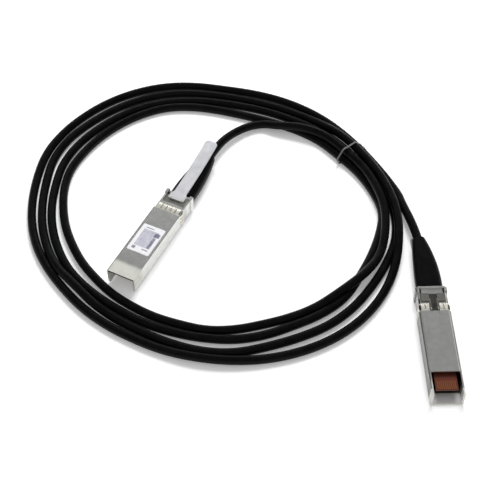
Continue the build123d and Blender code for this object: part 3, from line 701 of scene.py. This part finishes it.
def tie_ring(angle):
    """The strip's cross-section where it faces an angle. It touches the turn that reaches
    furthest that way, as a string pulled round them would."""
    out = math.cos(angle)
    rise = math.sin(angle)
    turn = max(TIE_TURNS, key=lambda place: place[0] * out + place[1] * rise)
    slack = TIE_SLACK * max(0.0, rise) ** TIE_SLACK_RISE * max(0.0, TIE_SLACK_LEAN - out)
    for side, depth in TIE_SECTION:
        reach = STRAND_RADIUS + TIE_GAP + TIE_THICKNESS * (depth + 1) / 2 + slack
        across = turn[0] + reach * out
        up = max(turn[1] + reach * rise, TIE_GAP + TIE_THICKNESS * (1 - depth) / 2)
        along = side * TIE_WIDTH / 2 + TIE_SLANT * (across - TIE_MIDDLE)
        yield tie_point(across, along, up)


def twist_rings(phase):
    """Rings along one of the tie's two ends, which winds round the other."""
    for step in range(TWIST_STEPS + 1):
        run = step / TWIST_STEPS
        spin = math.radians(phase + 360 * TWIST_TURNS * run)
        core = tie_point(
            TWIST_OUT + TWIST_BULGE * math.sin(math.pi * run) + TWIST_REACH * math.cos(spin),
            TWIST_ALONG[0] + (TWIST_ALONG[1] - TWIST_ALONG[0]) * run,
            TWIST_UP[0] + (TWIST_UP[1] - TWIST_UP[0]) * run + TWIST_REACH * math.sin(spin),
        )
        ring = []
        for corner in range(TWIST_SIDES):
            turned = math.radians(360 * corner / TWIST_SIDES)
            offset = math.cos(turned) * OUTWARDS + math.sin(turned) * UPWARDS
            ring.append(core + TWIST_STRAND_RADIUS * offset)
        yield ring


def tie_maker(made):
    """The strip's closed loop, and its two twisted ends."""
    angles = [math.radians(360 * step / TIE_STEPS) for step in range(TIE_STEPS)]
    rows = skin(made, [list(tie_ring(angle)) for angle in angles])
    join(made, rows[-1], rows[0])
    tube(made, list(twist_rings(0)))
    tube(made, list(twist_rings(180)))


tie = piece("tie", "cable_assembly", "tie_plastic", tie_maker)
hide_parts("coil_tie")


# Studio levels, where 1 is white: the room's even light, then what metal reflects of the walls,
# of the ceiling and of a flag on each side. The two pairs say how far upwards and how far sideways
# a reflected ray points where the walls begin to turn into ceiling or flag, and where they have
ROOM_LEVEL = 0.5
WALL_LEVEL = 1.0
CEILING_LEVEL = 0.35
CEILING_RISE = (0.1, 0.62)
FLAG_LEVEL = 0.35
FLAG_REACH = (0.25, 0.8)
# The floor, with its glow close to the object and far from it, which lifts it to white where it is
# seen, and the distances in metres between which the glow grows
FLOOR_COLOUR = (0.9, 0.9, 0.9, 1)
FLOOR_PLACE = (-0.08, 0.08, -0.00002)
FLOOR_HALF_WIDTH = 4.0
FLOOR_GLOW = (0.22, 0.57)
FLOOR_GLOW_GROWS = (0.3, 0.9)
LAMPS_AIM = (-0.08, 0.09, 0)


def linked(tree, kind, *inputs, **settings):
    """A node whose first inputs are set in order, each to a value or another node's output."""
    made = tree.nodes.new(kind)
    for key, value in settings.items():
        setattr(made, key, value)
    for socket, value in zip(made.inputs, inputs):
        if isinstance(value, bpy.types.NodeSocket):
            tree.links.new(value, socket)
        elif value is not None:
            socket.default_value = value
    return made


def floor():
    """A pale plain floor, white to the camera, to metal and through plastic."""
    mesh = bpy.data.meshes.new("floor")
    made = bmesh.new()
    bmesh.ops.create_grid(made, x_segments=1, y_segments=1, size=FLOOR_HALF_WIDTH)
    made.to_mesh(mesh)
    made.free()
    obj = bpy.data.objects.new("floor", mesh)
    obj.location = FLOOR_PLACE
    bpy.context.scene.collection.objects.link(obj)
    material = bpy.data.materials.new("floor")
    material.use_nodes = True
    tree = material.node_tree
    tree.nodes.clear()
    centred = tree.nodes.new("ShaderNodeTexCoord").outputs["Object"]
    distance = linked(tree, "ShaderNodeVectorMath", centred, operation="LENGTH").outputs["Value"]
    glow = linked(tree, "ShaderNodeMapRange", distance, *FLOOR_GLOW_GROWS, *FLOOR_GLOW)
    lit = linked(tree, "ShaderNodeBsdfDiffuse", FLOOR_COLOUR)
    white = linked(tree, "ShaderNodeEmission", None, glow.outputs[0])
    both = linked(tree, "ShaderNodeAddShader", lit.outputs[0], white.outputs[0])
    ray = tree.nodes.new("ShaderNodeLightPath").outputs
    through = linked(
        tree, "ShaderNodeMath", ray["Is Glossy Ray"], ray["Is Transmission Ray"],
        operation="MAXIMUM",
    )
    seen = linked(
        tree, "ShaderNodeMath", ray["Is Camera Ray"], through.outputs[0], operation="MAXIMUM",
    )
    pick = linked(
        tree, "ShaderNodeMixShader", seen.outputs[0], lit.outputs[0], both.outputs[0],
    )
    linked(tree, "ShaderNodeOutputMaterial", pick.outputs[0])
    mesh.materials.append(material)


def studio():
    """A pale room: even light, white behind the object, and for metal a dimmer ceiling."""
    world = bpy.data.worlds.new("studio")
    bpy.context.scene.world = world
    world.use_nodes = True
    tree = world.node_tree
    background = tree.nodes["Background"]
    background.inputs["Color"].default_value = (1, 1, 1, 1)

    def number(*inputs, **settings):
        return linked(tree, *inputs, **settings).outputs[0]

    ray = tree.nodes.new("ShaderNodeLightPath").outputs
    direction = tree.nodes.new("ShaderNodeTexCoord").outputs["Generated"]
    split = linked(tree, "ShaderNodeSeparateXYZ", direction).outputs
    levels = (WALL_LEVEL, CEILING_LEVEL)
    walls = number("ShaderNodeMapRange", split["Z"], *CEILING_RISE, *levels)
    sideways = number("ShaderNodeMath", split["X"], operation="ABSOLUTE")
    flags = number("ShaderNodeMapRange", sideways, *FLAG_REACH, 1.0, FLAG_LEVEL)
    walls = number("ShaderNodeMath", walls, flags, operation="MULTIPLY")
    seen = number(
        "ShaderNodeMath", ray["Is Camera Ray"], ray["Is Transmission Ray"], operation="MAXIMUM",
    )
    plain = number("ShaderNodeMix", seen, None, ROOM_LEVEL, 1.0)
    strength = number("ShaderNodeMix", ray["Is Glossy Ray"], None, plain, walls)
    tree.links.new(strength, background.inputs["Strength"])


def lamp(name, place, size, power, in_gloss=True):
    """A soft rectangular lamp, aimed at the object."""
    light = bpy.data.lights.new(name, "AREA")
    light.shape = "RECTANGLE"
    light.size, light.size_y = size
    light.energy = power
    obj = bpy.data.objects.new(name, light)
    obj.visible_glossy = in_gloss
    aimed(obj, place, LAMPS_AIM)


floor()
studio()
lamp("key", place=(0.05, 0.62, 0.85), size=(0.45, 0.35), power=8.0, in_gloss=False)
lamp("strip", place=(-0.1, 0.85, 0.3), size=(0.5, 0.05), power=0.5)

scene = bpy.context.scene
scene.view_settings.view_transform = "Standard"
